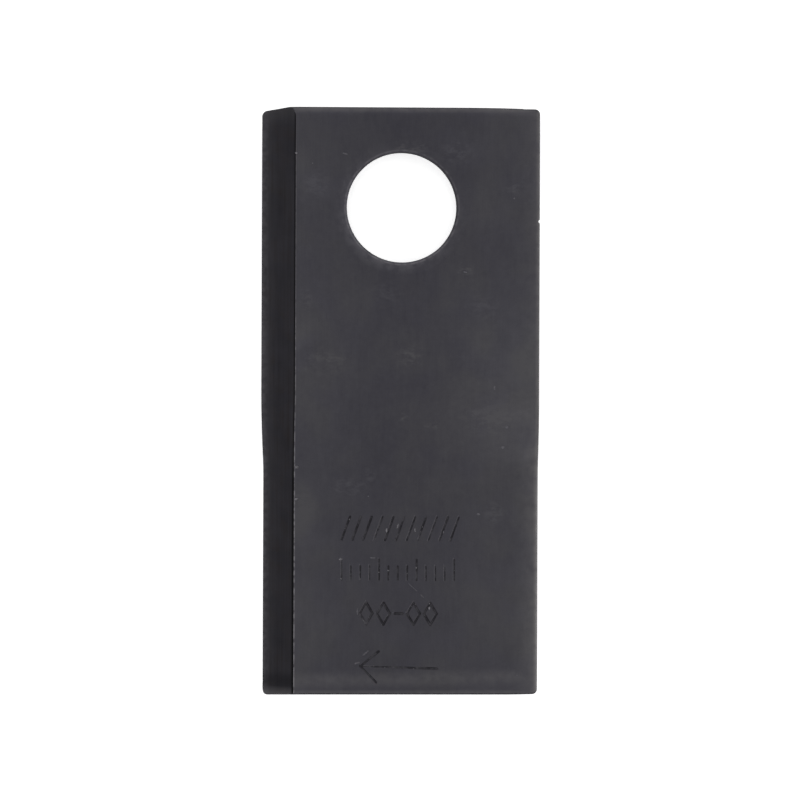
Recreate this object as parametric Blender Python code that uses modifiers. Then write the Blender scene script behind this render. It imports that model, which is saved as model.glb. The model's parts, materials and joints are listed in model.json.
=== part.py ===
# Rotary mower blade, one piece of spring steel flat.
# The flat is sheared to length, punched, milled to a cutting bevel along each long side and twisted
# between its halves. X runs across the blade, Y along it towards the bore, and Z up from the surface
# that it lies on. Lengths are in metres.

from math import atan2, cos, hypot, pi, radians, sin, tan

import bmesh
import bpy
from mathutils import Matrix

# Rolled flat
OVERALL_LENGTH = 0.105
BLADE_WIDTH = 0.0496
THICKNESS = 0.004
CORNER_RADIUS = 0.0009
EDGE_ROUND = 0.0003

# Sheared ends: both faces lean the same way, and the shear pulled down the edge that it entered at
BORE_END_LEAN = radians(10.0)
CUTTING_END_LEAN = radians(5.0)
PULL_LENGTH = 0.0023
PULL_DROP = 0.00034

# Punched bore: a drawn-in rim in front, and a torn zone that widens towards the back
BORE_DIAMETER = 0.0196
BORE_TO_END = 0.018
RIM_WIDTH = 0.0016
RIM_DROP = 0.00028
TEAR_DEPTH = 0.0014
TEAR_FLARE = 0.00022

# Milled cutting bevels
BEVEL_WIDTH = 0.0060
EDGE_LAND = 0.0004

# Twist between the bore half and the cutting half
BORE_HALF_LENGTH = 0.0508
TWIST_LENGTH = 0.0152
TWIST_ANGLE = radians(8.0)

# How finely the curved forms are divided
CORNER_STEPS = 4
PULL_STEPS = 4
RIM_STEPS = 4
BORE_SEGMENTS = 72
TWIST_STEPS = 10
WIDTH_STEPS = 8

# How far a cutter stands clear of the faces that it doesn't cut
CUTTER_MARGIN = 0.004

# The blade's own origin is on its axis, at mid-thickness, where the twist starts
HALF_WIDTH = BLADE_WIDTH / 2
HALF_THICKNESS = THICKNESS / 2
BORE_END = BORE_HALF_LENGTH
CUTTING_END = BORE_HALF_LENGTH - OVERALL_LENGTH
BORE_END_SLOPE = tan(BORE_END_LEAN)
CUTTING_END_SLOPE = tan(CUTTING_END_LEAN)


def clear_scene():
    for thing in list(bpy.data.objects):
        bpy.data.objects.remove(thing, do_unlink=True)


def new_collection(name):
    collection = bpy.data.collections.new(name)
    bpy.context.scene.collection.children.link(collection)
    return collection


def oxidised_steel():
    material = bpy.data.materials.new("oxidised_spring_steel")
    material.use_nodes = True
    shader = material.node_tree.nodes["Principled BSDF"]
    shader.inputs["Base Color"].default_value = (0.051, 0.050, 0.056, 1.0)
    shader.inputs["Roughness"].default_value = 0.48
    shader.inputs["Metallic"].default_value = 0.6
    return material


def plate_outline():
    """Plan of the flat at mid-thickness: a rectangle whose corners are arcs."""
    right = HALF_WIDTH - CORNER_RADIUS
    top = BORE_END - HALF_THICKNESS * BORE_END_SLOPE - CORNER_RADIUS
    bottom = CUTTING_END + HALF_THICKNESS * CUTTING_END_SLOPE + CORNER_RADIUS
    centres = [(right, bottom), (right, top), (-right, top), (-right, bottom)]
    points = []
    for quarter, (x, y) in enumerate(centres):
        for step in range(CORNER_STEPS + 1):
            angle = (quarter - 1 + step / CORNER_STEPS) * pi / 2
            points.append((x + CORNER_RADIUS * cos(angle), y + CORNER_RADIUS * sin(angle)))
    return points


def flat_curve(collection):
    """The flat with its rounded edges, as a filled curve."""
    curve = bpy.data.curves.new("flat", "CURVE")
    curve.dimensions = "2D"
    curve.fill_mode = "BOTH"
    curve.extrude = HALF_THICKNESS - EDGE_ROUND
    curve.bevel_depth = EDGE_ROUND
    curve.bevel_resolution = 1
    curve.offset = -EDGE_ROUND
    points = plate_outline()
    spline = curve.splines.new("POLY")
    spline.points.add(len(points) - 1)
    for point, (x, y) in zip(spline.points, points):
        point.co = (x, y, 0, 1)
    spline.use_cyclic_u = True
    flat = bpy.data.objects.new("flat", curve)
    collection.objects.link(flat)
    return flat


def evaluated_mesh(thing):
    """A new mesh of the object as its modifiers and curve settings leave it."""
    bpy.context.view_layer.update()
    return bpy.data.meshes.new_from_object(thing.evaluated_get(bpy.context.evaluated_depsgraph_get()))


def blade_blank(collection):
    """The flat as a closed mesh, with whole faces front and back."""
    flat = flat_curve(collection)
    shape = bmesh.new()
    shape.from_mesh(evaluated_mesh(flat))
    bpy.data.objects.remove(flat, do_unlink=True)
    bmesh.ops.remove_doubles(shape, verts=shape.verts, dist=1e-6)
    bmesh.ops.dissolve_limit(shape, angle_limit=radians(0.1), verts=shape.verts, edges=shape.edges)
    bmesh.ops.recalc_face_normals(shape, faces=shape.faces)
    mesh = bpy.data.meshes.new("blade")
    shape.to_mesh(mesh)
    shape.free()
    blade = bpy.data.objects.new("blade", mesh)
    collection.objects.link(blade)
    return blade


def cut_lines(shape, faces, place, direction):
    """Score the given faces along a plane, without parting them."""
    edges = {edge for face in faces for edge in face.edges}
    verts = {vert for face in faces for vert in face.verts}
    geometry = list(faces) + list(edges) + list(verts)
    bmesh.ops.bisect_plane(shape, geom=geometry, dist=1e-6, plane_co=place, plane_no=direction)


def shear_ends(blade):
    """Lean both ends, and pull down the front edge at the bore and the back edge at the other end."""
    shape = bmesh.new()
    shape.from_mesh(blade.data)
    for vertex in shape.verts:
        vertex.co.y += vertex.co.z * (BORE_END_SLOPE if vertex.co.y > 0 else CUTTING_END_SLOPE)
    for step in range(PULL_STEPS):
        inset = PULL_LENGTH * (1 - step / PULL_STEPS)
        cut_lines(shape, shape.faces[:], (0, BORE_END - inset, 0), (0, 1, 0))
        cut_lines(shape, shape.faces[:], (0, CUTTING_END + inset, 0), (0, 1, 0))
    for vertex in shape.verts:
        into_front = (vertex.co.y - BORE_END + PULL_LENGTH) / PULL_LENGTH
        into_back = (CUTTING_END + PULL_LENGTH - vertex.co.y) / PULL_LENGTH
        if vertex.co.z > 0 and into_front > 0:
            vertex.co.z -= PULL_DROP * into_front ** 2
        if vertex.co.z < 0 and into_back > 0:
            vertex.co.z += PULL_DROP * into_back ** 2
    bmesh.ops.triangulate(shape, faces=shape.faces)
    shape.to_mesh(blade.data)
    shape.free()


def cutter_object(collection, name, mesh):
    cutter = bpy.data.objects.new(name, mesh)
    cutter.hide_render = True
    cutter.display_type = "WIRE"
    collection.objects.link(cutter)
    return cutter


def bore_cutter(collection):
    """The bore, as a profile turned about its axis: drawn-in rim, sheared wall, torn zone."""
    radius = BORE_DIAMETER / 2
    clear = HALF_THICKNESS + CUTTER_MARGIN
    profile = [(0, clear), (radius + RIM_WIDTH, clear)]
    for step in range(RIM_STEPS + 1):
        angle = step / RIM_STEPS * pi / 2
        height = HALF_THICKNESS - RIM_DROP * (1 - cos(angle))
        profile.append((radius + RIM_WIDTH * (1 - sin(angle)), height))
    profile.append((radius, TEAR_DEPTH - HALF_THICKNESS))
    profile.append((radius + TEAR_FLARE, -HALF_THICKNESS))
    profile.append((radius + TEAR_FLARE, -clear))
    profile.append((0, -clear))
    mesh = bpy.data.meshes.new("bore_cutter")
    edges = [(index, index + 1) for index in range(len(profile) - 1)]
    mesh.from_pydata([(across, 0, height) for across, height in profile], edges, [])
    cutter = cutter_object(collection, "bore_cutter", mesh)
    cutter.location.y = BORE_END - BORE_TO_END
    turning = cutter.modifiers.new("turning", "SCREW")
    turning.steps = BORE_SEGMENTS
    turning.render_steps = BORE_SEGMENTS
    turning.use_merge_vertices = True
    turning.merge_threshold = 1e-6
    return cutter


def bevel_cutter(collection, name, turn):
    """A block that stands on the milled face of the left front bevel, turned over for the other one."""
    drop = THICKNESS - EDGE_LAND
    width = 2 * (hypot(BEVEL_WIDTH, drop) + CUTTER_MARGIN)
    height = BEVEL_WIDTH + CUTTER_MARGIN
    length = 2 * (OVERALL_LENGTH + CUTTER_MARGIN)
    size = Matrix.Diagonal((width, length, height, 1))
    standing = Matrix.Translation((0, 0, height / 2))
    leaning = Matrix.Rotation(-atan2(drop, BEVEL_WIDTH), 4, "Y")
    at_ridge = Matrix.Translation((BEVEL_WIDTH - HALF_WIDTH, 0, HALF_THICKNESS))
    shape = bmesh.new()
    bmesh.ops.create_cube(shape, size=1, matrix=at_ridge @ leaning @ standing @ size)
    mesh = bpy.data.meshes.new(name)
    shape.to_mesh(mesh)
    shape.free()
    cutter = cutter_object(collection, name, mesh)
    cutter.rotation_euler.y = turn
    return cutter


def machine(blade, cutters):
    """Punch the bore and mill both bevels, and keep the result as the blade's mesh."""
    for cutter in cutters:
        cut = blade.modifiers.new(cutter.name, "BOOLEAN")
        cut.operation = "DIFFERENCE"
        cut.object = cutter
    mesh = evaluated_mesh(blade)
    blade.modifiers.clear()
    blade.data = mesh


def score_twist_zone(blade):
    """Divide the twist zone across and along, so that the twisted faces stay fair."""
    shape = bmesh.new()
    shape.from_mesh(blade.data)
    for step in range(TWIST_STEPS + 1):
        place = (0, -TWIST_LENGTH * step / TWIST_STEPS, 0)
        cut_lines(shape, shape.faces[:], place, (0, 1, 0))
    zone = [face for face in shape.faces if -TWIST_LENGTH < face.calc_center_median().y < 0]
    for step in range(1, WIDTH_STEPS):
        place = (BLADE_WIDTH * (step / WIDTH_STEPS - 0.5), 0, 0)
        cut_lines(shape, zone, place, (1, 0, 0))
        zone = [face for face in shape.faces if -TWIST_LENGTH < face.calc_center_median().y < 0]
    shape.to_mesh(blade.data)
    shape.free()


def twist(blade):
    """Turn the cutting half about the blade's axis, its leading edge down."""
    along = [vertex.co.y for vertex in blade.data.vertices]
    low, high = min(along), max(along)
    bend = blade.modifiers.new("twist", "SIMPLE_DEFORM")
    bend.deform_method = "TWIST"
    bend.deform_axis = "Y"
    bend.angle = TWIST_ANGLE
    bend.limits = ((-TWIST_LENGTH - low) / (high - low), -low / (high - low))


def lowest(points, roll):
    return min(point.z * cos(roll) - point.x * sin(roll) for point in points)


def resting_roll(points):
    """The roll at which the bore half and the cutting half touch the same level surface."""
    bore_half = [point for point in points if point.y > 0]
    cutting_half = [point for point in points if point.y < -TWIST_LENGTH]
    least, most = 0.0, TWIST_ANGLE
    for _ in range(40):
        roll = (least + most) / 2
        if lowest(bore_half, roll) > lowest(cutting_half, roll):
            least = roll
        else:
            most = roll
    return roll


def lay_down(blade):
    """Rest the blade on z = 0, with its outline centred on the origin."""
    points = [vertex.co.copy() for vertex in evaluated_mesh(blade).vertices]
    roll = resting_roll(points)
    turned = [Matrix.Rotation(roll, 3, "Y") @ point for point in points]
    across = [point.x for point in turned]
    along = [point.y for point in turned]
    blade.rotation_euler.y = roll
    blade.location.x = -(min(across) + max(across)) / 2
    blade.location.y = -(min(along) + max(along)) / 2
    blade.location.z = -min(point.z for point in turned)


def build():
    clear_scene()
    parts = new_collection("rotary_mower_blade")
    cutters = new_collection("cutters")
    blade = blade_blank(parts)
    blade.data.materials.append(oxidised_steel())
    shear_ends(blade)
    bore = bore_cutter(cutters)
    front_bevel = bevel_cutter(cutters, "front_bevel_cutter", 0)
    back_bevel = bevel_cutter(cutters, "back_bevel_cutter", pi)
    machine(blade, [bore, front_bevel, back_bevel])
    score_twist_zone(blade)
    twist(blade)
    blade.data.shade_smooth()
    blade.data.set_sharp_from_angle(angle=radians(30))
    lay_down(blade)


build()
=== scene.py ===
# Rotary mower blade seen from above: one piece of twisted spring steel on a white sweep.
# Works in metres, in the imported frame. The blade is made flat and straight, then twisted and laid down.
import json
from functools import partial
from math import atan2, cos, degrees, hypot, pi, radians, sin, tan
from random import Random

import bpy
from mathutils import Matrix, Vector


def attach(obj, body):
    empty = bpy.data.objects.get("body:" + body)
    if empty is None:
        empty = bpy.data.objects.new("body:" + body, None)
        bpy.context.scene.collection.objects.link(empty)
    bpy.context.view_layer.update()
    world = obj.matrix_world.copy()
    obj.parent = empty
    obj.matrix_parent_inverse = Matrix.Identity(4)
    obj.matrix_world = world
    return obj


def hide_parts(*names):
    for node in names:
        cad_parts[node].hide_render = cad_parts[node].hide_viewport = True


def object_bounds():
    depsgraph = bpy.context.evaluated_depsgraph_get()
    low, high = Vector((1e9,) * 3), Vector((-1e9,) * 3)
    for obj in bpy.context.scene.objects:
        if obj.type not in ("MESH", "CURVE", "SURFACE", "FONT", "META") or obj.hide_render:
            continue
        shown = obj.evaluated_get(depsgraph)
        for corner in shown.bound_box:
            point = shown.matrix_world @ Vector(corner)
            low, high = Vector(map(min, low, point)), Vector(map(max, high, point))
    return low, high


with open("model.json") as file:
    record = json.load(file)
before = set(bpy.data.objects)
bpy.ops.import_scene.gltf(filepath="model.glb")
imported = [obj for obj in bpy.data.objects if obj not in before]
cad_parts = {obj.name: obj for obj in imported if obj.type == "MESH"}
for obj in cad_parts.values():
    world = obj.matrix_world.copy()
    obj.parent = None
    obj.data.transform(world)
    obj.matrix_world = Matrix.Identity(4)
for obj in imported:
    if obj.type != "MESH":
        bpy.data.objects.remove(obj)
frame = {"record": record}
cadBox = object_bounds()
print("frame loaded, box", [tuple(round(value, 5) for value in corner) for corner in cadBox])

scene = bpy.context.scene
scene.view_settings.view_transform = "Standard"
mm = 0.001
samePoint = 0.0001 * mm  # points nearer than this are one
hair = 0.001 * mm  # a point this far past a line lies beyond it
slack = 0.01 * mm

# the flat's own origin is on its axis, at mid-thickness, where the twist starts
blade = {
    "overallLength": 105 * mm,
    "width": 49.6 * mm,
    "thickness": 4 * mm,
    "cornerRadius": 0.9 * mm,
    "cornerSteps": 6,
    "edgeRound": 0.3 * mm,
    "edgeRoundSteps": 4,
    "boreEndLean": radians(10),  # the shear left both end faces leaning the same way
    "cuttingEndLean": radians(5),
    "cuttingEndSkew": radians(0.6),  # and cropped the cutting end this far off square
    "boreHalfLength": 50.8 * mm,  # from where the twist starts to the bore end
    # the bore end drops towards both corners: side, where it starts to, and by how much
    "shoulders": ((1, 12 * mm, 0.2 * mm), (-1, -18.5 * mm, 0.1 * mm)),
    "shoulderSteps": 4,
    "shoulderReach": 2.4 * mm,  # only what lies this near the bore end drops
    "pullLength": 2.3 * mm,  # the shear drew each end down over this length
    "pullDrop": 0.34 * mm,
    "bevelWidth": 6.0 * mm,
    "edgeLand": 0.4 * mm,  # what the bevel leaves of the side's height
    "honedEdge": 0.07 * mm,
    "honeSteps": 3,
    "crownWidth": 2.8 * mm,  # the rolled face falls away over this width
    "crownDrop": 0.15 * mm,
    "cuttingCrownDrop": 0.19 * mm,  # the cutting half's long edges fall away by this much more
    "fallSteps": 9,  # lines scored for each pull, crown and swell
    "twistLength": 15.2 * mm,
    "twistAngle": radians(8),
    "twistInsets": (0.0, 0.1, 0.2),  # shares of the twist length; each pass turns a third
    "twistSteps": 30,
    "acrossSteps": 24,
    "smoothAngle": radians(29),
    "faceWeight": 60,
}
halfWidth = blade["width"] / 2
halfThick = blade["thickness"] / 2
boreEnd = blade["boreHalfLength"]
cuttingEnd = boreEnd - blade["overallLength"]
ridgeAcross = blade["bevelWidth"] - halfWidth

bore = {
    "diameter": 19.6 * mm,
    "aside": 0.14 * mm,  # off the middle of the width
    "toEnd": 17.91 * mm,
    "sides": 160,
    "rimWidth": 1.6 * mm,
    "rimDrop": 0.28 * mm,
    "rimSteps": 8,
    "rimTilt": 0.3,  # faces of the rim that look up more than this are still the rolled skin
    "tearDepth": 1.4 * mm,
    "tearStep": 0.35 * mm,
    "tearFlare": 0.22 * mm,
    "tearWave": 0.22 * mm,
    # each wave of the tear: its count round the bore, where it begins and its share
    "tearWaves": ((3, 0.6, 1), (7, 2.0, 0.5), (17, 0, 0.35)),
}
boreCentre = (bore["aside"], boreEnd - bore["toEnd"], 0)
boreRadius = bore["diameter"] / 2


def linearColour(hexText):
    # the sRGB curve
    values = [int(hexText[place:place + 2], 16) / 255 for place in (1, 3, 5)]
    return [v / 12.92 if v <= 0.04045 else ((v + 0.055) / 1.055) ** 2.4 for v in values] + [1.0]


# a Mix node's colour sockets, by number because its other sockets have the same names
factor, under, over = 0, 6, 7
ofColours = {"take": 2, "data_type": "RGBA"}


def addNode(tree, kind, inputs=(), take=0, **settings):
    # inputs are values or links, by name or in the order of the sockets; take is the output given back
    node = tree.nodes.new("ShaderNode" + kind)
    for name, value in settings.items():
        setattr(node, name, value)
    for socket, value in inputs.items() if isinstance(inputs, dict) else enumerate(inputs):
        if isinstance(value, bpy.types.NodeSocket):
            tree.links.new(value, node.inputs[socket])
        else:
            node.inputs[socket].default_value = value
    return node.outputs[take] if node.outputs else None


def newMaterial(name):
    material = bpy.data.materials.new(name)
    material.use_nodes = True
    material.node_tree.nodes.clear()
    return material, partial(addNode, material.node_tree)


def onlyThis(thing):
    bpy.ops.object.select_all(action="DESELECT")
    thing.select_set(True)
    bpy.context.view_layer.objects.active = thing


def editSelected(thing, kind, test):
    # edit mode with only the vertices, edges or faces that pass the test selected
    onlyThis(thing)
    bpy.ops.object.mode_set(mode="EDIT")
    bpy.ops.mesh.select_mode(type=kind)
    bpy.ops.mesh.select_all(action="DESELECT")
    bpy.ops.object.mode_set(mode="OBJECT")
    mesh = thing.data
    group = {"VERT": mesh.vertices, "EDGE": mesh.edges, "FACE": mesh.polygons}[kind]
    for element in group:
        element.select = bool(test(element))
    bpy.ops.object.mode_set(mode="EDIT")


def backToObject():
    bpy.ops.object.mode_set(mode="OBJECT")


def edgeEnds(thing):
    points = thing.data.vertices
    return lambda edge: (points[edge.vertices[0]].co, points[edge.vertices[1]].co)


def scoreAll(thing, place, normal):
    # a cut line all round the piece that parts nothing
    onlyThis(thing)
    bpy.ops.object.mode_set(mode="EDIT")
    bpy.ops.mesh.select_all(action="SELECT")
    bpy.ops.mesh.bisect(plane_co=place, plane_no=normal, threshold=samePoint)
    backToObject()


def applyPlace(thing):
    onlyThis(thing)
    bpy.ops.object.transform_apply(location=True, rotation=True, scale=True)


def applyModifier(thing, modifier):
    onlyThis(thing)
    bpy.ops.object.modifier_apply(modifier=modifier.name)


def joined(things):
    onlyThis(things[0])
    for thing in things:
        thing.select_set(True)
    bpy.ops.object.join()
    return bpy.context.active_object


def combine(thing, tool, operation):
    # new faces keep the tool's material; only in a union may the tool cross itself
    solids = thing.modifiers.new("solids", "BOOLEAN")
    solids.operation = operation
    solids.solver = "EXACT"
    solids.object = tool
    solids.use_self = operation == "UNION"
    solids.material_mode = "TRANSFER"
    applyModifier(thing, solids)
    bpy.data.objects.remove(tool, do_unlink=True)


def cutWith(thing, cutter):
    combine(thing, cutter, "DIFFERENCE")


def shapeTowards(piece, axis, edge, width, rise, side, where=None):
    # Lines are scored beside an edge of the flat, and what lies beyond each is moved a little further,
    # so that the front (side 1) or the back (side -1) follows the curve rise(share), share 1 at the edge.
    steps = blade["fallSteps"]
    outward = 1 if edge > 0 else -1
    for step in range(steps):
        line = edge - outward * width * (1 - step / steps)
        place, normal = [0, 0, 0], [0, 0, 0]
        place[axis], normal[axis] = line, 1
        scoreAll(piece, place, normal)

        def beyond(vertex):
            past = (vertex.co[axis] - line) * outward > hair
            return past and vertex.co.z * side > 0 and (where is None or where(vertex.co))

        editSelected(piece, "VERT", beyond)
        move = rise((step + 1) / steps) - rise(step / steps)
        bpy.ops.transform.translate(value=(0, 0, side * move))
        backToObject()


# Every pattern reads flatPlace, the place that the point had in the straight flat, in metres, so that
# it follows the twist: x across, y along from where the twist starts, z out of the stamped face.
# A ramp in the looks below gives where it starts and ends, and then its value at each.
oxideLook = {
    "edgeTint": (0.25, 0.25, 0.25, 1.0),  # oil-soaked oxide stays dark at a grazing angle
    "metallic": 0.7,
    "specular": 0.5,
}


def finishShader(add, look, colour, roughness, height):
    # a look with no metallic or specular value of its own takes those above
    look = {**oxideLook, **look}
    bump = add("Bump", {"Height": height, "Strength": 1.0, "Distance": look["relief"]})
    shader = add("BsdfPrincipled", {
        "Base Color": colour, "Roughness": roughness, "Metallic": look["metallic"], "Normal": bump,
        "Specular IOR Level": look["specular"], "Specular Tint": look["edgeTint"]})
    add("OutputMaterial", (shader,))


rolledLook = {
    "dark": "#333238",
    "light": "#434247",
    "lightWarm": "#444346",
    "highlightColour": "#6D6B6A",
    "ridge": "#757377",
    "mouthHighlight": "#6A686C",
    "glint": "#57565A",
    # the patterns' sizes, or three where one is drawn out: across, along and through the blade
    "cloud": 6.5 * mm,
    "hueCloud": 7 * mm,
    "smear": (1.1 * mm, 4.5 * mm, 1.1 * mm),
    # rolling lines are finer than this streak, which is as fine as the picture shows
    "streak": (0.22 * mm, 9 * mm, 0.22 * mm),
    "mottle": 0.8 * mm,
    "grain": 0.32 * mm,
    "wipe": (1.5 * mm, 0.8 * mm, 1.5 * mm),
    "chips": 0.9 * mm,
    "uneven": 1.6 * mm,
    "glintSpacing": 2.6 * mm,
    "shares": {"cloud": 0.42, "smear": 0.26, "streak": 0.12, "mottle": 0.22, "grain": 0.13},
    # the tone: what changes it by place, how patterns break up patches, and its span from dark to light
    "middleShade": (2 * mm, 18 * mm, -0.12, 0.08),
    "pastBore": (27 * mm, 12 * mm, 0, 0.13),
    "pastTwist": (-20 * mm, -50 * mm, 0.02, 0.08),
    "cloudBreak": (0.35, 0.6, 0.4, 1),
    "wipeBreak": (0.44, 0.68, 0, 1),
    "patchFade": (1.3, 0.2),  # a patch goes from nothing to full between these shares of its radii
    "hueSpan": (0.42, 0.6, 0, 1),
    "toneSpan": (0.32, 1.12, 0, 1),
    # wear along the ridge: across it, where it is chipped, and less of it along the blade
    "ridgeWear": (ridgeAcross + 0.26 * mm, ridgeAcross + 0.08 * mm, 0, 1),
    "ridgeChips": (0.38, 0.58, 0.15, 1.15),
    "ridgeAlong": [(-14 * mm, -6 * mm, 0.78, 0.36), (8 * mm, 18 * mm, 1, 0.4), (42 * mm, 46 * mm, 1, 0)],
    # painted highlights along the free edges and at both sheared ends, and the pale band
    "wideEdgeHighlight": (5.6 * mm, 0.3 * mm, 0, 0.51),
    "wideAlong": (-4 * mm, -16 * mm, 0.45, 1),
    "fineEdgeHighlight": (0.8 * mm, 0.2 * mm, 0, 0.26),
    "boreEndHighlight": (boreEnd - 1.1 * mm, boreEnd - 0.2 * mm, 0, 0.3),
    "cuttingEndHighlight": (cuttingEnd + 1.2 * mm, cuttingEnd + 0.4 * mm, 0, 0.26),
    "bandSlant": 0.029,
    "bandLine": cuttingEnd + 3.0 * mm,
    "band": (2.0 * mm, 0, 0, 0.15),
    "highlightBreak": (0.3, 0.6, 0.6, 1.1),
    # the bore's mouth, a painted highlight: a soft ring, and a fine bright line in it
    "mouthSide": (-0.5, -0.87, 0),  # most at the lower left
    "softRing": (boreRadius + 2.3 * mm, boreRadius + 0.4 * mm, 0, 1),
    "softBreak": (0.38, 0.6, 0.4, 1.25),
    "softSide": (-9 * mm, 9 * mm, 0.04, 0.21),
    "brightLine": boreRadius + 0.36 * mm,
    "bright": (0.32 * mm, 0, 0, 1),
    "brightChips": (0.36, 0.62, 0.4, 1.5),
    "brightSide": (-9 * mm, 9 * mm, 0.24, 0.42),
    "glintSize": (0.05, 0.02, 0, 1),  # from the middle of a cell, as a share of the spacing
    "glintChosen": 0.9,  # the cells with a random value above this have a pin-point
    "roughness": (0.3, 0.7, 0.51, 0.42),
    "streakRelief": 0.6,
    "relief": 0.006 * mm,
    # where the skin is a little lighter: place, radius across and along in millimetres, and how much;
    # patches are broken up by the clouds, smudges by a finer noise
    "patches": [
        ((-14.3, 36.0), (3.4, 3.0), 0.2),
        ((-17.5, -24.0), (3.4, 7.0), 0.3),
        ((-18.0, -39.0), (2.6, 6.0), 0.12),
        ((-18.0, 8.0), (2.6, 6.0), 0.2),
        ((-18.0, 39.0), (2.6, 5.0), 0.16),
        ((19.0, 4.0), (9.0, 12.5), 0.26),
        ((16.5, 33.0), (3.5, 5.0), 0.12),
    ],
    "smudges": [
        ((1.4, 6.4), (3.2, 2.4), 0.5),
        ((-13.3, 5.4), (4.6, 2.4), 0.42),
        ((15.5, -4.5), (5.0, 3.6), 0.42),
        ((0.5, -4.5), (1.0, 0.8), 0.7),
        ((5.8, -6.0), (1.5, 0.7), 0.7),
        ((-9.0, -17.0), (3.8, 1.9), 0.5),
        ((-5.0, -14.8), (1.0, 1.7), 0.55),
        ((17.0, -21.5), (2.0, 2.2), 0.5),
        ((-17.0, -19.5), (2.2, 2.4), 0.45),
        ((9.8, 42.8), (3.8, 2.6), 0.42),
        ((1.5, 43.5), (4.2, 1.4), 0.7),
        ((20.5, 36.5), (2.4, 1.4), 0.5),
        ((11.5, 21.5), (1.6, 1.0), 0.6),
        ((-15.0, 37.0), (2.6, 3.0), 0.35),
        ((-17.0, 16.5), (1.6, 2.2), 0.35),
        ((14.5, 15.0), (3.2, 2.6), 0.3),
        ((-2.5, 17.5), (3.2, 2.2), 0.3),
    ],
}


def patchMask(add, place, breakUp, middle, radii, strength):
    # a soft oval, broken up by a pattern
    centre = (middle[0] * mm, middle[1] * mm, halfThick)
    centred = add("VectorMath", (place, centre), operation="SUBTRACT")
    inverse = (1 / (radii[0] * mm), 1 / (radii[1] * mm), 0)
    scaled = add("VectorMath", (centred, inverse), operation="MULTIPLY")
    distance = add("VectorMath", (scaled,), take="Value", operation="LENGTH")
    fade = (*rolledLook["patchFade"], 0, strength)
    oval = add("MapRange", (distance, *fade), interpolation_type="SMOOTHSTEP")
    return add("Math", (oval, breakUp), operation="MULTIPLY")


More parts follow.
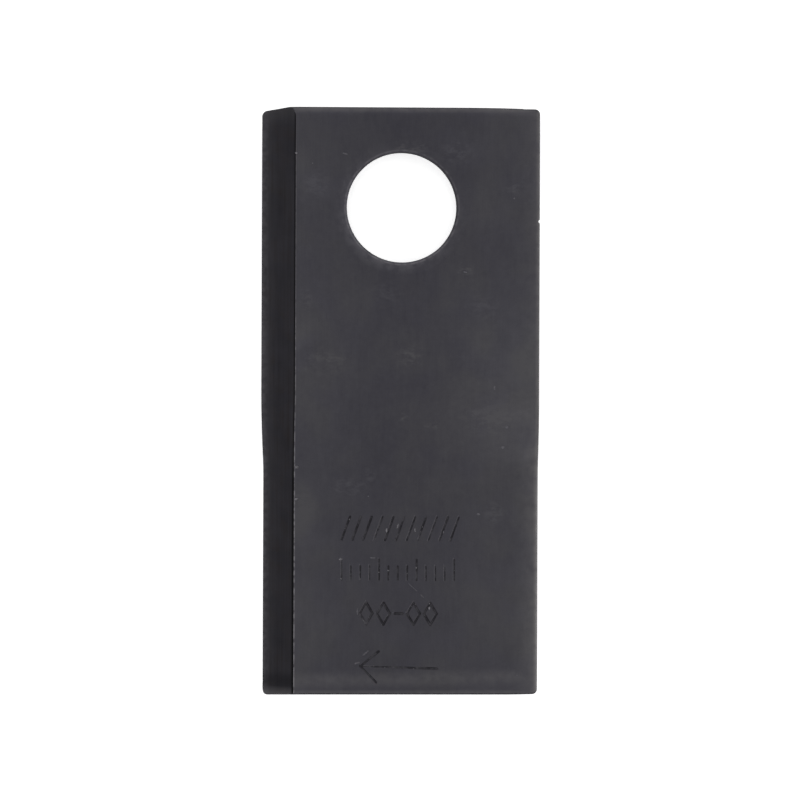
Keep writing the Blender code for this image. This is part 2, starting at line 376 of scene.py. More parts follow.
def rolledOxide():
    # Hot-rolled spring steel, hardened and blackened: satin charcoal with soft clouds, faint rolling
    # lines along the bar and a few bare pin-points that catch the light
    material, add = newMaterial("blackenedRolledSteel")
    look = rolledLook
    place = add("Attribute", take="Vector", attribute_name="flatPlace")
    across = add("SeparateXYZ", (place,), take="X")
    along = add("SeparateXYZ", (place,), take="Y")
    cloud = add("TexNoise", {"Vector": place, "Scale": 1 / look["cloud"], "Detail": 3, "Roughness": 0.55})
    mottle = add("TexNoise", {"Vector": place, "Scale": 1 / look["mottle"], "Detail": 2})
    grain = add("TexNoise", {"Vector": place, "Scale": 1 / look["grain"], "Detail": 1})
    smear = add("VectorMath", (place, look["smear"]), operation="DIVIDE")
    smear = add("TexNoise", {"Vector": smear, "Scale": 1, "Detail": 2})
    streak = add("VectorMath", (place, look["streak"]), operation="DIVIDE")
    streak = add("TexNoise", {"Vector": streak, "Scale": 1, "Detail": 1})

    # painted shade: darker along the middle, lighter towards the long edges
    fromMiddle = add("Math", (across,), operation="ABSOLUTE")
    tone = add("MapRange", (fromMiddle, *look["middleShade"]), interpolation_type="SMOOTHSTEP")
    patterns = {"cloud": cloud, "smear": smear, "streak": streak, "mottle": mottle, "grain": grain}
    for name, share in look["shares"].items():
        tone = add("Math", (patterns[name], share, tone), operation="MULTIPLY_ADD")
    # and a little lighter away from the bore, then again towards the cutting end
    pastBore = add("MapRange", (along, *look["pastBore"]), interpolation_type="SMOOTHSTEP")
    pastTwist = add("MapRange", (along, *look["pastTwist"]))
    tone = add("Math", (tone, add("Math", (pastBore, pastTwist), operation="ADD")), operation="ADD")
    clouded = add("MapRange", (cloud, *look["cloudBreak"]))
    wiped = add("VectorMath", (place, look["wipe"]), operation="DIVIDE")
    wiped = add("TexNoise", {"Vector": wiped, "Scale": 1, "Detail": 3, "Roughness": 0.6})
    wiped = add("MapRange", (wiped, *look["wipeBreak"]))
    for group, breakUp in (("patches", clouded), ("smudges", wiped)):
        for patch in look[group]:
            tone = add("Math", (tone, patchMask(add, place, breakUp, *patch)), operation="ADD")
    hue = add("TexNoise", {"Vector": place, "Scale": 1 / look["hueCloud"], "Detail": 1})
    hue = add("MapRange", (hue, *look["hueSpan"]))
    light = {factor: hue, under: linearColour(look["light"]), over: linearColour(look["lightWarm"])}
    light = add("Mix", light, **ofColours)
    tone = add("MapRange", (tone, *look["toneSpan"]))
    colour = add("Mix", {factor: tone, under: linearColour(look["dark"]), over: light}, **ofColours)

    # the back is milled and has its painted highlights along its other edges, so it counts across from the
    # other side
    front = add("Math", (add("SeparateXYZ", (place,), take="Z"),), operation="SIGN")
    fromLeft = add("Math", (across, front), operation="MULTIPLY")
    # the skin is rubbed through along the ridge of the milled edge, more so on the cutting half
    chips = add("TexNoise", {"Vector": place, "Scale": 1 / look["chips"], "Detail": 3})
    worn = add("MapRange", (fromLeft, *look["ridgeWear"]))
    worn = add("Math", (worn, add("MapRange", (chips, *look["ridgeChips"]))), operation="MULTIPLY")
    for ramp in look["ridgeAlong"]:
        worn = add("Math", (worn, add("MapRange", (along, *ramp))), operation="MULTIPLY")
    colour = add("Mix", {factor: worn, under: colour, over: linearColour(look["ridge"])}, **ofColours)

    # painted highlights towards the free edges, where the crowned and pulled-down edges catch the light:
    # the right one most on the cutting half, and both sheared ends
    fromRight = add("Math", (halfWidth, fromLeft), operation="SUBTRACT")
    wideEdgeHighlight = add("MapRange", (fromRight, *look["wideEdgeHighlight"]))
    wideEdgeHighlight = add("Math", (wideEdgeHighlight, wideEdgeHighlight), operation="MULTIPLY")
    wideEdgeHighlight = add("Math", (wideEdgeHighlight, add("MapRange", (along, *look["wideAlong"]))), operation="MULTIPLY")
    fineEdgeHighlight = add("MapRange", (fromRight, *look["fineEdgeHighlight"]))
    sideHighlight = add("Math", (wideEdgeHighlight, fineEdgeHighlight), operation="ADD")
    boreEndHighlight = add("MapRange", (along, *look["boreEndHighlight"]))
    squared = add("Math", (across, -tan(blade["cuttingEndSkew"]), along), operation="MULTIPLY_ADD")
    cuttingEndHighlight = add("MapRange", (squared, *look["cuttingEndHighlight"]))
    endHighlight = add("Math", (boreEndHighlight, cuttingEndHighlight), operation="ADD")
    # a pale slanting band across the cutting end: painted highlight on the lit slope of the swell that
    # cropping left there
    slanted = add("Math", (across, -look["bandSlant"], along), operation="MULTIPLY_ADD")
    fromBand = add("Math", (slanted, look["bandLine"]), operation="SUBTRACT")
    fromBand = add("Math", (fromBand,), operation="ABSOLUTE")
    band = add("MapRange", (fromBand, *look["band"]), interpolation_type="SMOOTHSTEP")
    highlight = add("Math", (sideHighlight, add("Math", (endHighlight, band), operation="ADD")), operation="MAXIMUM")
    uneven = add("TexNoise", {"Vector": place, "Scale": 1 / look["uneven"], "Detail": 3})
    highlight = add("Math", (highlight, add("MapRange", (uneven, *look["highlightBreak"]))), operation="MULTIPLY")
    colour = add("Mix", {factor: highlight, under: colour, over: linearColour(look["highlightColour"])}, **ofColours)

    # and a painted highlight round the mouth of the bore, strongest at the lower left, on the side of the
    # drawn-in rim that faces the light
    mouthCentre = (boreCentre[0], boreCentre[1], halfThick)
    toBore = add("VectorMath", (place, mouthCentre), take="Value", operation="DISTANCE")
    lower = add("VectorMath", (place, mouthCentre), operation="SUBTRACT")
    lower = add("VectorMath", (lower, look["mouthSide"]), take="Value", operation="DOT_PRODUCT")
    softRing = add("MapRange", (toBore, *look["softRing"]))
    softRing = add("Math", (softRing, add("MapRange", (uneven, *look["softBreak"]))), operation="MULTIPLY")
    softRing = add("Math", (softRing, add("MapRange", (lower, *look["softSide"]))), operation="MULTIPLY")
    # with a fine painted bright line a little way out from the edge, broken up
    fromLine = add("Math", (toBore, look["brightLine"]), operation="SUBTRACT")
    fromLine = add("Math", (fromLine,), operation="ABSOLUTE")
    bright = add("MapRange", (fromLine, *look["bright"]))
    bright = add("Math", (bright, add("MapRange", (chips, *look["brightChips"]))), operation="MULTIPLY")
    bright = add("Math", (bright, add("MapRange", (lower, *look["brightSide"]))), operation="MULTIPLY")
    mouthHighlight = add("Math", (bright, softRing), operation="MAXIMUM")
    colour = add("Mix", {factor: mouthHighlight, under: colour, over: linearColour(look["mouthHighlight"])}, **ofColours)

    # pin-points
    cells = {"Vector": place, "Scale": 1 / look["glintSpacing"]}
    near = add("MapRange", (add("TexVoronoi", cells, take="Distance"), *look["glintSize"]))
    chosen = add("SeparateColor", (add("TexVoronoi", cells, take="Color"),), take="Red")
    chosen = add("Math", (chosen, look["glintChosen"]), operation="GREATER_THAN")
    glint = add("Math", (near, chosen), operation="MULTIPLY")
    colour = add("Mix", {factor: glint, under: colour, over: linearColour(look["glint"])}, **ofColours)

    rough = add("MapRange", (cloud, *look["roughness"]))
    height = add("Math", (streak, look["streakRelief"], grain), operation="MULTIPLY_ADD")
    finishShader(add, look, colour, rough, height)
    return material


milledLook = {
    "dark": "#29282C",
    "darkWarm": "#2B2829",
    "light": "#323136",
    "handled": "#4A494D",
    "edge": "#5E5C60",
    "end": "#6A696B",
    "endShade": "#161518",
    # the colour of the painted shade along the ridge
    "root": "#09090B",
    "line": (0.3 * mm, 14 * mm, 0.3 * mm),
    "cloud": 4 * mm,
    "nicks": 0.9 * mm,
    "toneSpan": (0.6, 1.4, 0, 1),
    "hueSpan": (0.4, 0.6, 0, 1),
    # by the distance from the cutting edge
    "handling": (3 * mm, 0, 0, 0.35),
    "edgeRub": (1.4 * mm, 0.1 * mm, 0, 0.24),
    "edgeNicks": (0.38, 0.62, 0.3, 1.7),
    # by the place along
    "endShadeStart": (cuttingEnd + 4.4 * mm, cuttingEnd + 2.7 * mm, 0, 0.4),
    "endShadeEnd": (cuttingEnd + 0.4 * mm, cuttingEnd + 2.4 * mm, 0, 1),
    "farEnd": (boreEnd - 3.4 * mm, boreEnd - 0.4 * mm, 0, 0.14),
    "nearEnd": (cuttingEnd + 1.5 * mm, cuttingEnd + 0.1 * mm, 0, 0.42),
    # by the distance from the ridge, and for the wide painted shade also along
    "fineRidgeShade": (0.3 * mm, 0.12 * mm, 0, 0.85),
    "wideRidgeShade": (0.55 * mm, 0.2 * mm, 0, 1),
    "wideAlong": (-8 * mm, -16 * mm, 0, 1),
    "roughness": (0.3, 0.7, 0.4, 0.5),
    "relief": 0.006 * mm,
}


def milledOxide():
    # Milled across the corner of the bar and blackened: smoother and darker, with cutter lines
    # along the edge, and lighter where the edge is handled
    material, add = newMaterial("blackenedMilledSteel")
    look = milledLook
    place = add("Attribute", take="Vector", attribute_name="flatPlace")
    across = add("SeparateXYZ", (place,), take="X")
    along = add("SeparateXYZ", (place,), take="Y")
    toEdge = add("Math", (halfWidth, add("Math", (across,), operation="ABSOLUTE")), operation="SUBTRACT")
    lines = add("VectorMath", (place, look["line"]), operation="DIVIDE")
    lines = add("TexNoise", {"Vector": lines, "Scale": 1, "Detail": 2})
    cloud = add("TexNoise", {"Vector": place, "Scale": 1 / look["cloud"], "Detail": 2})
    tone = add("Math", (lines, cloud), operation="ADD")
    tone = add("MapRange", (tone, *look["toneSpan"]))
    hue = add("TexNoise", {"Vector": place, "Scale": 1 / look["cloud"], "Detail": 1, "Distortion": 0.6})
    hue = add("MapRange", (hue, *look["hueSpan"]))
    dark = {factor: hue, under: linearColour(look["dark"]), over: linearColour(look["darkWarm"])}
    dark = add("Mix", dark, **ofColours)
    colour = add("Mix", {factor: tone, under: dark, over: linearColour(look["light"])}, **ofColours)
    handled = add("MapRange", (toEdge, *look["handling"]))
    colour = add("Mix", {factor: handled, under: colour, over: linearColour(look["handled"])}, **ofColours)
    edge = add("MapRange", (toEdge, *look["edgeRub"]))
    nicked = add("TexNoise", {"Vector": place, "Scale": 1 / look["nicks"], "Detail": 3})
    edge = add("Math", (edge, add("MapRange", (nicked, *look["edgeNicks"]))), operation="MULTIPLY")
    colour = add("Mix", {factor: edge, under: colour, over: linearColour(look["edge"])}, **ofColours)

    # painted shade a little way in from the cutting end, where the end is inclined, and painted highlights
    # at both ends
    endShadeStart = add("MapRange", (along, *look["endShadeStart"]), interpolation_type="SMOOTHSTEP")
    endShadeEnd = add("MapRange", (along, *look["endShadeEnd"]), interpolation_type="SMOOTHSTEP")
    endShade = add("Math", (endShadeStart, endShadeEnd), operation="MULTIPLY")
    colour = add("Mix", {factor: endShade, under: colour, over: linearColour(look["endShade"])}, **ofColours)
    farEnd = add("MapRange", (along, *look["farEnd"]))
    nearEnd = add("MapRange", (along, *look["nearEnd"]))
    ends = add("Math", (farEnd, nearEnd), operation="ADD")
    colour = add("Mix", {factor: ends, under: colour, over: linearColour(look["end"])}, **ofColours)

    # painted shade: a dark line on the bevel along the ridge, wider and darker on the cutting half
    fromRidge = add("Math", (blade["bevelWidth"], toEdge), operation="SUBTRACT")
    fineRidgeShade = add("MapRange", (fromRidge, *look["fineRidgeShade"]))
    wideRidgeShade = add("MapRange", (fromRidge, *look["wideRidgeShade"]))
    wideRidgeShade = add("Math", (wideRidgeShade, add("MapRange", (along, *look["wideAlong"]))), operation="MULTIPLY")
    root = add("Math", (fineRidgeShade, wideRidgeShade), operation="MAXIMUM")
    colour = add("Mix", {factor: root, under: colour, over: linearColour(look["root"])}, **ofColours)
    rough = add("MapRange", (lines, *look["roughness"]))
    finishShader(add, look, colour, rough, lines)
    return material


shearedLook = {
    "dark": "#363539",
    "light": "#525155",
    "drag": (0.35 * mm, 3 * mm, 2.5 * mm),
    "grain": 0.3 * mm,
    "toneSpan": (0.6, 1.4, 0, 1),
    "roughness": (0.3, 0.7, 0.62, 0.8),
    "metallic": 0.95,
    "specular": 0.25,
    "relief": 0.015 * mm,
}


def shearedOxide():
    # Cropped across the bar: drag lines where the shear went in, and a coarser broken face beyond
    material, add = newMaterial("blackenedShearedSteel")
    look = shearedLook
    place = add("Attribute", take="Vector", attribute_name="flatPlace")
    drag = add("VectorMath", (place, look["drag"]), operation="DIVIDE")
    drag = add("TexNoise", {"Vector": drag, "Scale": 1, "Detail": 3, "Roughness": 0.6})
    grain = add("TexNoise", {"Vector": place, "Scale": 1 / look["grain"], "Detail": 3, "Roughness": 0.65})
    height = add("Math", (drag, grain), operation="ADD")
    tone = add("MapRange", (height, *look["toneSpan"]))
    ends = {factor: tone, under: linearColour(look["dark"]), over: linearColour(look["light"])}
    colour = add("Mix", ends, **ofColours)
    rough = add("MapRange", (grain, *look["roughness"]))
    finishShader(add, look, colour, rough, height)
    return material


punchedLook = {
    "dark": "#333236",
    "light": "#46454A",
    "score": (0.3 * mm, 0.3 * mm, 4 * mm),
    "toneSpan": (0.3, 0.7, 0, 1),
    "roughness": (0.3, 0.7, 0.45, 0.58),
    "metallic": 1.0,
    "relief": 0.01 * mm,
}


def punchedOxide():
    # The punched bore: fine lines along its axis from the punch
    material, add = newMaterial("blackenedPunchedSteel")
    look = punchedLook
    place = add("Attribute", take="Vector", attribute_name="flatPlace")
    score = add("VectorMath", (place, look["score"]), operation="DIVIDE")
    score = add("TexNoise", {"Vector": score, "Scale": 1, "Detail": 2, "Roughness": 0.6})
    tone = add("MapRange", (score, *look["toneSpan"]))
    wall = {factor: tone, under: linearColour(look["dark"]), over: linearColour(look["light"])}
    colour = add("Mix", wall, **ofColours)
    rough = add("MapRange", (score, *look["roughness"]))
    finishShader(add, look, colour, rough, score)
    return material


stampedLook = {
    "dark": "#232226",
    "light": "#434246",
    "bare": "#5C5B5E",
    "grain": 0.4 * mm,
    "grainShare": 0.4,
    "wipe": 1.9 * mm,
    "specks": 0.5 * mm,
    "toneSpan": (0.63, 1.0, 0, 1),
    "bareSpan": (0.69, 0.75, 0, 1),
    "roughness": 0.5,
    "metallic": 0.4,
    "relief": 0.01 * mm,
}


def stampedOxide():
    # The floor of a struck mark: pressed smooth, the blacking thick in it in places, with a few bare specks
    material, add = newMaterial("blackenedStampedSteel")
    look = stampedLook
    place = add("Attribute", take="Vector", attribute_name="flatPlace")
    grain = add("TexNoise", {"Vector": place, "Scale": 1 / look["grain"], "Detail": 2})
    wiped = add("TexNoise", {"Vector": place, "Scale": 1 / look["wipe"], "Detail": 2})
    tone = add("Math", (grain, look["grainShare"], wiped), operation="MULTIPLY_ADD")
    tone = add("MapRange", (tone, *look["toneSpan"]))
    blacking = {factor: tone, under: linearColour(look["dark"]), over: linearColour(look["light"])}
    colour = add("Mix", blacking, **ofColours)
    bare = add("TexNoise", {"Vector": place, "Scale": 1 / look["specks"], "Detail": 1})
    bare = add("MapRange", (bare, *look["bareSpan"]))
    colour = add("Mix", {factor: bare, under: colour, over: linearColour(look["bare"])}, **ofColours)
    finishShader(add, look, colour, look["roughness"], grain)
    return material


# A knock went through the oxide: small bare spots of grey steel. A scratch only thinned it, so it is a
# little paler than the skin round it.
# the same two pale materials also carry painted highlights on the metal raised beside the marks
knockedAndHighlitLook = {
    "name": "knockedBareSteelAndHighlight",
    "dark": "#4C4B4F",
    "light": "#6F6D71",
    "grain": 0.25 * mm,
    "toneSpan": (0.35, 0.65, 0, 1),
    "roughness": 0.42,
    "metallic": 0.8,
    "relief": 0.01 * mm,
}
scratchedAndHighlitLook = {
    "name": "scratchedOxideAndHighlight",
    "dark": "#454448",
    "light": "#56555A",
    "grain": 0.25 * mm,
    "toneSpan": (0.35, 0.65, 0, 1),
    "roughness": 0.5,
    "relief": 0.006 * mm,
}


def paleSteelAndHighlight(look):
    material, add = newMaterial(look["name"])
    place = add("Attribute", take="Vector", attribute_name="flatPlace")
    grain = add("TexNoise", {"Vector": place, "Scale": 1 / look["grain"], "Detail": 2})
    tone = add("MapRange", (grain, *look["toneSpan"]))
    spots = {factor: tone, under: linearColour(look["dark"]), over: linearColour(look["light"])}
    finishShader(add, look, add("Mix", spots, **ofColours), look["roughness"], grain)
    return material


rolled, milled, sheared = rolledOxide(), milledOxide(), shearedOxide()
punched, stamped = punchedOxide(), stampedOxide()
knockedAndHighlit, scratchedAndHighlit = paleSteelAndHighlight(knockedAndHighlitLook), paleSteelAndHighlight(scratchedAndHighlitLook)
print("oxide finishes made")


def startFlat():
    boreShift = halfThick * tan(blade["boreEndLean"])
    cuttingShift = halfThick * tan(blade["cuttingEndLean"])
    top, bottom = boreEnd - boreShift, cuttingEnd + cuttingShift
    bpy.ops.mesh.primitive_cube_add(
        size=1, location=(0, (top + bottom) / 2, 0),
        scale=(blade["width"], top - bottom, blade["thickness"]))
    piece = bpy.context.active_object
    piece.name = piece.data.name = "twistedBlade"
    piece.data.materials.append(rolled)
    piece.data.materials.append(sheared)
    applyPlace(piece)
    ends = edgeEnds(piece)
    editSelected(piece, "EDGE", lambda edge: abs(ends(edge)[0].z - ends(edge)[1].z) > halfThick)
    bpy.ops.mesh.bevel(offset=blade["cornerRadius"], offset_type="OFFSET", segments=blade["cornerSteps"])
    backToObject()
    for end, shift in ((1, boreShift), (-1, cuttingShift)):
        for side in (1, -1):
            editSelected(piece, "VERT", lambda vertex: vertex.co.z * side > 0 and vertex.co.y * end > 0)
            bpy.ops.transform.translate(value=(0, shift * side, 0))
            backToObject()
    editSelected(piece, "EDGE", lambda edge: abs(ends(edge)[0].z - ends(edge)[1].z) < halfThick)
    bpy.ops.mesh.bevel(offset=blade["edgeRound"], offset_type="OFFSET", segments=blade["edgeRoundSteps"])
    backToObject()
    editSelected(piece, "VERT", lambda vertex: vertex.co.y < 0)
    bpy.ops.transform.rotate(
        value=-blade["cuttingEndSkew"], orient_axis="Z", orient_type="GLOBAL",
        center_override=(0, cuttingEnd, 0))
    backToObject()
    for face in piece.data.polygons:
        face.material_index = 1 if abs(face.normal.y) > 0.5 else 0  # the end faces are sheared
    return piece


def pullEnds(piece):
    # the shear drew down the edge that it entered at: in front at the bore, behind at the other end
    def fall(share):
        return -blade["pullDrop"] * share ** 2

    for end, side in ((boreEnd, 1), (cuttingEnd, -1)):
        shapeTowards(piece, 1, end, blade["pullLength"], fall, side)


def bevelBlock(turn):
    # stands on the milled face of the left front edge, turned over for the right back one
    drop = blade["thickness"] - blade["edgeLand"]
    clear = 4 * mm  # it stands out past the flat by this much
    reach = 2 * (hypot(blade["bevelWidth"], drop) + clear)
    height = blade["bevelWidth"] + clear
    bpy.ops.mesh.primitive_cube_add(
        size=1, location=(0, 0, height / 2), scale=(reach, 3 * blade["overallLength"], height))
    block = bpy.context.active_object
    block.data.materials.append(milled)
    applyPlace(block)
    block.rotation_euler.y = -atan2(drop, blade["bevelWidth"])
    block.location = (ridgeAcross, 0, halfThick)
    applyPlace(block)
    block.rotation_euler.y = turn
    applyPlace(block)
    return block


def honeEdges(piece):
    # takes the feather off the two cutting edges, up to where the land beside them narrows at a pulled end
    height = halfThick - blade["edgeLand"]
    offSide, offHeight = 0.02 * mm, 0.05 * mm  # as far as a point of the edge may be from its line
    rightStop = boreEnd - blade["pullLength"] + slack
    leftStop = cuttingEnd + blade["pullLength"] - slack
    ends = edgeEnds(piece)

    def onCuttingEdge(edge):
        return all(
            abs(abs(end.x) - halfWidth) < offSide
            and (abs(end.z - height) < offHeight and end.y < rightStop if end.x > 0
                 else abs(end.z + height) < offHeight and end.y > leftStop)
            for end in ends(edge))

    editSelected(piece, "EDGE", onCuttingEdge)
    bpy.ops.mesh.bevel(offset=blade["honedEdge"], offset_type="OFFSET", segments=blade["honeSteps"])
    backToObject()


def crownEdges(piece):
    # the rolled edges fall away: front of the right one, back of the left one, more on the cutting half
    for line in (0, -blade["twistLength"]):
        scoreAll(piece, (0, line, 0), (0, 1, 0))

    def onCuttingHalf(place):
        return place.y < slack - blade["twistLength"]

    for edge, side in ((halfWidth, 1), (-halfWidth, -1)):
        for drop, where in ((blade["crownDrop"], None), (blade["cuttingCrownDrop"], onCuttingHalf)):
            shapeTowards(piece, 0, edge, blade["crownWidth"], lambda share: -drop * share ** 2, side, where)


def borePunch():
    # a cylinder with rings: drawn-in rim in front, straight wall, torn zone towards the back
    clear = halfThick + 2 * mm
    rings = []
    for step in range(bore["rimSteps"] + 1):
        angle = step / bore["rimSteps"] * pi / 2
        rings.append((halfThick - bore["rimDrop"] * (1 - cos(angle)),
                      boreRadius + bore["rimWidth"] * (1 - sin(angle))))
    tearStart = bore["tearDepth"] - halfThick
    rings.append((tearStart, boreRadius))
    rings.append((tearStart - bore["tearStep"], boreRadius + bore["tearFlare"] / 2))
    rings.append((-halfThick, boreRadius + bore["tearFlare"]))
    bpy.ops.mesh.primitive_cylinder_add(
        vertices=bore["sides"], radius=boreRadius, depth=2 * clear, location=boreCentre)
    punch = bpy.context.active_object
    punch.data.materials.append(punched)
    applyPlace(punch)
    for height, _ in rings:
        scoreAll(punch, (0, 0, height), (0, 0, 1))
    for height, ringRadius in [(clear, rings[0][1]), *rings, (-clear, rings[-1][1])]:
        editSelected(punch, "VERT", lambda vertex: abs(vertex.co.z - height) < hair)
        share = ringRadius / boreRadius
        bpy.ops.transform.resize(value=(share, share, 1), center_override=(*boreCentre[:2], height))
        backToObject()
    # the tear starts at an uneven height round the bore
    whole = sum(share for count, begin, share in bore["tearWaves"])
    for vertex in punch.data.vertices:
        if abs(vertex.co.z - tearStart) < bore["tearStep"] + slack:
            angle = atan2(vertex.co.y - boreCentre[1], vertex.co.x - boreCentre[0])
            wave = sum(share * sin(count * angle + begin) for count, begin, share in bore["tearWaves"])
            vertex.co.z += bore["tearWave"] * wave / whole
    return punch


def skinOverRim(piece):
    # the drawn-in rim is still the rolled face
    slots = [slot.name for slot in piece.data.materials]
    for face in piece.data.polygons:
        if slots[face.material_index] == punched.name and face.normal.z > bore["rimTilt"]:
            face.material_index = slots.index(rolled.name)


# Struck marks, as strokes from (x, y, depth) to (x, y, depth) in millimetres: an arrow for the turning
# direction, and plain rows of strokes above it
marks = {
    "seed": 5,
    "uneven": (0.5, 1.3),  # no two strokes went in equally deep
    # the skin is pressed down beside this share of the strokes, by this depth and this far off
    "pressed": {"radius": 1.5 * mm, "depth": 0.03, "aside": (-0.17, 0.13), "share": 0.7},
    "punchRadius": 0.264 * mm,
    "sides": 20,  # of the ball that a stroke's punch is drawn out from
    "rings": 9,
    "arrow": [
        ((-6.55, -48.95, 0.04), (7.0, -49.25, 0.14)),
        ((-6.8, -49.0, 0.09), (-3.5, -46.3, 0.15)),
        ((-6.85, -48.84, 0.07), (-3.9, -51.8, 0.12)),
    ],
    "hatch": {"from": -10.2, "to": 10.8, "count": 11, "low": -26.4, "high": -22.3,
              "slant": 1.5, "depth": 0.1},
    "ticks": {"from": -10.2, "to": 10.0, "count": 13, "low": -33.5, "high": -29.9,
              "shorter": 1.2, "longEvery": 4, "depth": 0.07},
    "lozenges": {"centres": (-5.75, -2.65, 2.75, 5.75), "y": -39.5, "wide": 2.3, "tall": 3.9,
                 "depth": 0.15, "short": 0.07},  # each stroke starts this share past the corner
    "dash": {"from": -0.6, "to": 0.75},
}


def strokeList():
    strikes = Random(marks["seed"])
    strokes = []
    row = marks["hatch"]
    pitch = (row["to"] - row["from"] - row["slant"]) / (row["count"] - 1)
    for index in range(row["count"]):
        x = row["from"] + pitch * index
        strokes.append(((x, row["low"], row["depth"]), (x + row["slant"], row["high"], row["depth"])))
    row = marks["ticks"]
    pitch = (row["to"] - row["from"]) / (row["count"] - 1)
    for index in range(row["count"]):
        x = row["from"] + pitch * index
        top = row["high"] - (row["shorter"] if index % row["longEvery"] else 0)
        strokes.append(((x, row["low"], row["depth"]), (x, top, row["depth"])))
    row = marks["lozenges"]
    halfWide, halfTall = row["wide"] / 2, row["tall"] / 2
    for x in row["centres"]:
        corners = [(x - halfWide, row["y"]), (x, row["y"] + halfTall),
                   (x + halfWide, row["y"]), (x, row["y"] - halfTall)]
        for index in range(4):
            corner, end = Vector(corners[index - 1]), Vector(corners[index])
            start = corner.lerp(end, row["short"])
            strokes.append(((*start, row["depth"]), (*end, row["depth"])))
    dash = marks["dash"]
    strokes.append(((dash["from"], row["y"], row["depth"]), (dash["to"], row["y"], row["depth"])))
    uneven = [[(x, y, depth * strikes.uniform(*marks["uneven"])) for x, y, depth in ends]
              for ends in strokes]
    return [*marks["arrow"], *uneven]


def pressedList(strokes):
    # what is pressed down beside them is also rubbed a little paler
    pressed = marks["pressed"]
    strikes = Random(marks["seed"])
    return [[(x + pressed["aside"][0], y + pressed["aside"][1], pressed["depth"]) for x, y, _ in ends]
            for ends in strokes if strikes.random() < pressed["share"]]


def strokePunch(start, end, radius):
    # a small ball drawn out to the stroke's length
    first = Vector((start[0] * mm, start[1] * mm, halfThick + radius - start[2] * mm))
    last = Vector((end[0] * mm, end[1] * mm, halfThick + radius - end[2] * mm))
    bpy.ops.mesh.primitive_uv_sphere_add(segments=marks["sides"], ring_count=marks["rings"], radius=radius)
    punch = bpy.context.active_object
    editSelected(punch, "VERT", lambda vertex: vertex.co.z > 0)
    bpy.ops.transform.translate(value=(0, 0, (last - first).length))
    backToObject()
    punch.rotation_euler = (last - first).to_track_quat("Z", "Y").to_euler()
    punch.location = first
    applyPlace(punch)
    return punch


def stampDie(strokes, radius, skin):
    # made one solid first, because strokes cross
    die, *others = [strokePunch(*stroke, radius) for stroke in strokes]
    others = joined(others)
    for part in (die, others):
        part.data.materials.append(skin)
    combine(die, others, "UNION")
    return die


# small knocks and scratches: place, radii and turn about Z, in millimetres and degrees
knocks = [
    ((-18.35, -13.5, 2.0), (0.42, 0.26, 0.16), 0),
    ((-18.35, -19.2, 2.0), (0.36, 0.24, 0.16), 20),
    ((-18.75, 42.5, 2.0), (0.3, 0.16, 0.1), 0),
    ((24.95, 30.5, 1.6), (0.42, 0.36, 0.9), 0),
    # bare-steel flecks where the struck metal stands up beside a mark, their paleness partly a painted
    # highlight of that raised metal
    ((-2.1, -24.7, 2.0), (0.17, 0.42, 0.07), 0),
    ((-0.1, -23.9, 2.0), (0.15, 0.46, 0.07), -16),
    ((3.0, -24.6, 2.0), (0.13, 0.34, 0.05), 6),
    ((8.0, -24.8, 2.0), (0.16, 0.4, 0.07), 0),
    ((-10.35, -29.9, 2.0), (0.36, 0.16, 0.08), 10),
    ((5.6, -38.5, 2.0), (0.2, 0.28, 0.1), 0),
]
scratches = [
    ((2.6, -34.8, 2.05), (2.1, 0.1, 0.06), -42),
    ((4.3, -36.35, 2.01), (0.4, 0.13, 0.06), -42),
    ((-10.0, 42.4, 2.02), (0.5, 0.14, 0.07), -15),
    ((18.5, -9.8, 2.02), (0.28, 0.28, 0.06), 0),
    ((19.1, -6.2, 2.02), (0.24, 0.24, 0.06), 0),
    ((16.8, 0.8, 2.02), (0.16, 0.4, 0.06), 0),
    ((14.3, -21.7, 2.02), (0.34, 0.2, 0.06), 0),
    ((21.3, -50.2, 2.02), (0.18, 0.22, 0.06), 0),
    ((11.5, 21.4, 2.03), (0.4, 0.12, 0.06), -10),
    ((20.2, 34.6, 2.02), (0.16, 0.16, 0.06), 0),
    # paler lips beside the marks, partly a painted highlight where the raised metal catches the light
    ((-4.6, -29.6, 2.0), (0.5, 0.13, 0.05), 0),
    ((-7.3, -39.2, 2.0), (0.14, 0.6, 0.05), 0),
    ((-7.35, -48.4, 2.0), (0.5, 0.17, 0.05), 15),
    ((-5.8, -46.6, 2.0), (0.7, 0.16, 0.05), 40),
]


def knockTool(places, skin):
    tools = []
    for place, radii, turn in places:
        bpy.ops.mesh.primitive_ico_sphere_add(
            subdivisions=3, radius=mm, location=[value * mm for value in place],
            rotation=(0, 0, radians(turn)), scale=radii)
        tools.append(bpy.context.active_object)
        applyPlace(tools[-1])
    tool = joined(tools)
    tool.data.materials.append(skin)
    return tool


def scoreTwist(piece):
    # rows along the twist, and lines across the twist zone only
    for step in range(1, blade["twistSteps"]):
        scoreAll(piece, (0, -blade["twistLength"] * step / blade["twistSteps"], 0), (0, 1, 0))
    for step in range(1, blade["acrossSteps"]):
        x = blade["width"] * (step / blade["acrossSteps"] - 0.5)
        editSelected(piece, "FACE", lambda face: -blade["twistLength"] < face.center.y < 0)
        bpy.ops.mesh.bisect(plane_co=(x, 0, 0), plane_no=(1, 0, 0), threshold=samePoint)
        backToObject()


endWave = {
    "reach": 4.8 * mm,
    "swell": 0.09 * mm,
    "swellShare": 0.46,  # where the swell is highest, as a share of the reach from inside
}


def swellEnd(piece):
    # cropping left a low swell across the front of the cutting end
    def rise(share):
        rising = share < endWave["swellShare"]
        far = share / endWave["swellShare"] if rising else (1 - share) / (1 - endWave["swellShare"])
        return endWave["swell"] * far * far * (3 - 2 * far)

    shapeTowards(piece, 1, cuttingEnd, endWave["reach"], rise, 1)


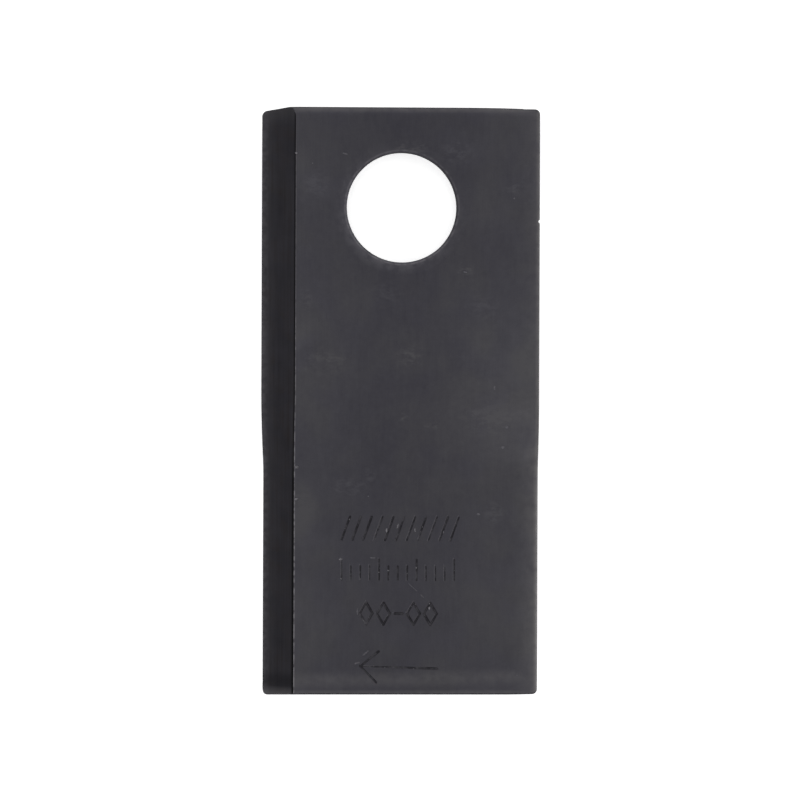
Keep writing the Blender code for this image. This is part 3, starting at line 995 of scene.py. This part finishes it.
def slopeShoulders(piece):
    # the shear left the bore end a little low at its corners
    for side, start, drop in blade["shoulders"]:
        for step in range(blade["shoulderSteps"]):
            line = start + (side * halfWidth - start) * step / blade["shoulderSteps"]
            scoreAll(piece, (line, 0, 0), (1, 0, 0))
            editSelected(piece, "VERT", lambda vertex: (
                (vertex.co.x - line) * side > hair and vertex.co.y > boreEnd - blade["shoulderReach"]))
            bpy.ops.transform.translate(value=(0, -drop / blade["shoulderSteps"], 0))
            backToObject()


def keepFlatPlace(piece):
    # the material patterns read this
    kept = piece.data.attributes.new("flatPlace", "FLOAT_VECTOR", "POINT")
    kept.data.foreach_set("vector", [value for vertex in piece.data.vertices for value in vertex.co])


def twistPiece(piece):
    # three passes, each over a shorter stretch, so that the twist starts and ends softly
    along = [vertex.co.y for vertex in piece.data.vertices]
    low, span = min(along), max(along) - min(along)
    bpy.ops.object.empty_add()
    start = bpy.context.active_object
    for inset in blade["twistInsets"]:
        upper = -inset * blade["twistLength"]
        lower = (inset - 1) * blade["twistLength"]
        start.location.y = upper
        bpy.context.view_layer.update()
        bend = piece.modifiers.new("twist", "SIMPLE_DEFORM")
        bend.deform_method = "TWIST"
        bend.deform_axis = "Y"
        bend.origin = start
        bend.angle = blade["twistAngle"] / len(blade["twistInsets"])
        bend.limits = ((lower - low) / span, (upper - low) / span)
        applyModifier(piece, bend)
    bpy.data.objects.remove(start, do_unlink=True)


def layDown(piece):
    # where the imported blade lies: its roll and place come from the seat round its bore
    seat = next(mount for mount in frame["record"]["mounts"] if mount["name"] == "front_seat")
    roll = atan2(seat["axis"][0], seat["axis"][2])
    middle = (cadBox[0].y + cadBox[1].y) / 2
    piece.rotation_euler.y = roll
    piece.location = (seat["pos_m"][0] - halfThick * sin(roll), middle - (boreEnd + cuttingEnd) / 2,
                      seat["pos_m"][2] - halfThick * cos(roll))
    applyPlace(piece)
    print("laid down, rolled by", round(degrees(roll), 3), "degrees")


def finishMesh(piece):
    onlyThis(piece)
    bpy.ops.object.mode_set(mode="EDIT")
    bpy.ops.mesh.select_all(action="SELECT")
    bpy.ops.mesh.remove_doubles(threshold=samePoint)
    bpy.ops.mesh.normals_make_consistent(inside=False)
    backToObject()
    bpy.ops.object.shade_smooth_by_angle(angle=blade["smoothAngle"])
    weight = piece.modifiers.new("faceWeight", "WEIGHTED_NORMAL")
    weight.keep_sharp = True
    weight.weight = blade["faceWeight"]
    applyModifier(piece, weight)


piece = startFlat()
pullEnds(piece)
cutWith(piece, bevelBlock(0))
cutWith(piece, bevelBlock(pi))
honeEdges(piece)
crownEdges(piece)
print("flat sheared and milled,", len(piece.data.polygons), "faces")
cutWith(piece, borePunch())
skinOverRim(piece)
strokes = strokeList()
cutWith(piece, stampDie(pressedList(strokes), marks["pressed"]["radius"], scratchedAndHighlit))
cutWith(piece, stampDie(strokes, marks["punchRadius"], stamped))
cutWith(piece, knockTool(knocks, knockedAndHighlit))
cutWith(piece, knockTool(scratches, scratchedAndHighlit))
print("punched and stamped,", len(piece.data.polygons), "faces")
scoreTwist(piece)
swellEnd(piece)
slopeShoulders(piece)
keepFlatPlace(piece)
twistPiece(piece)
layDown(piece)
finishMesh(piece)
finishes = [slot.name for slot in piece.data.materials]
print("twisted,", len(piece.data.polygons), "faces, materials", finishes)
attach(piece, "root")
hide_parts("blade")


studio = {
    "floorSize": 6.0,
    "floorColour": "#E6E6E6",
    "floorGlow": 0.57,
    "worldStrength": 0.42,
    "lamps": {  # place, size across and along, watts
        "overheadSoftbox": ((-0.1, 0.0, 1.3), (2.3, 2.3), 9.0),
        "rightSoftbox": ((1.3, 0.05, 0.4), (0.6, 1.8), 11.0),
        "farSoftbox": ((0.0, 0.9, 0.9), (1.8, 0.7), 5.0),
        "nearSoftbox": ((0.0, -0.95, 0.8), (1.6, 0.6), 3.5),
    },
}


def makeFloor():
    bpy.ops.mesh.primitive_plane_add(size=studio["floorSize"], location=(0, 0, 0))
    floor = bpy.context.active_object
    floor.name = "floor"
    # white painted sweep, with a little glow of its own for the camera and for reflections
    material, add = newMaterial("whitePaintedSweep")
    paint = add("BsdfDiffuse", {"Color": linearColour(studio["floorColour"])})
    seen = add("LightPath", take="Is Camera Ray")
    for ray in ("Is Glossy Ray", "Is Transmission Ray"):
        seen = add("Math", (seen, add("LightPath", take=ray)), operation="MAXIMUM")
    strength = add("Math", (seen, studio["floorGlow"]), operation="MULTIPLY")
    glow = add("Emission", {"Color": (1, 1, 1, 1), "Strength": strength})
    add("OutputMaterial", (add("AddShader", (paint, glow)),))
    floor.data.materials.append(material)


def makeLamps():
    world = bpy.data.worlds.new("softRoom")
    world.use_nodes = True
    world.node_tree.nodes.clear()
    add = partial(addNode, world.node_tree)
    add("OutputWorld", (add("Background", {"Color": (1, 1, 1, 1), "Strength": studio["worldStrength"]}),))
    scene.world = world
    for name, (place, size, watts) in studio["lamps"].items():
        bpy.ops.object.light_add(type="AREA", location=place)
        lamp = bpy.context.active_object
        lamp.name = name
        lamp.data.shape = "RECTANGLE"
        lamp.data.size, lamp.data.size_y = size
        lamp.data.energy = watts
        lamp.rotation_euler = (-Vector(place)).to_track_quat("-Z", "Y").to_euler()
        lamp.visible_camera = False


# the camera stands a little to the right of straight above, so it looks more squarely at the bore half
view = {
    "target": (-0.013 * mm, 0.259 * mm, 3.5 * mm),
    "distance": 746.5 * mm,
    "sideways": radians(2.6),
    "turn": radians(0.2018),
    "lens": 188.0,
    "clipStart": 0.01,
}


def makeCamera():
    aside = view["distance"] * sin(view["sideways"])
    above = view["distance"] * cos(view["sideways"])
    place = Vector(view["target"]) + Vector((aside * cos(view["turn"]), aside * sin(view["turn"]), above))
    bpy.ops.object.camera_add(location=place, rotation=(0, view["sideways"], view["turn"]))
    camera = bpy.context.active_object
    camera.name = "overheadCamera"
    camera.data.lens = view["lens"]
    camera.data.clip_start = view["clipStart"]
    scene.camera = camera


makeFloor()
makeLamps()
makeCamera()
print("floor, lamps and camera made")
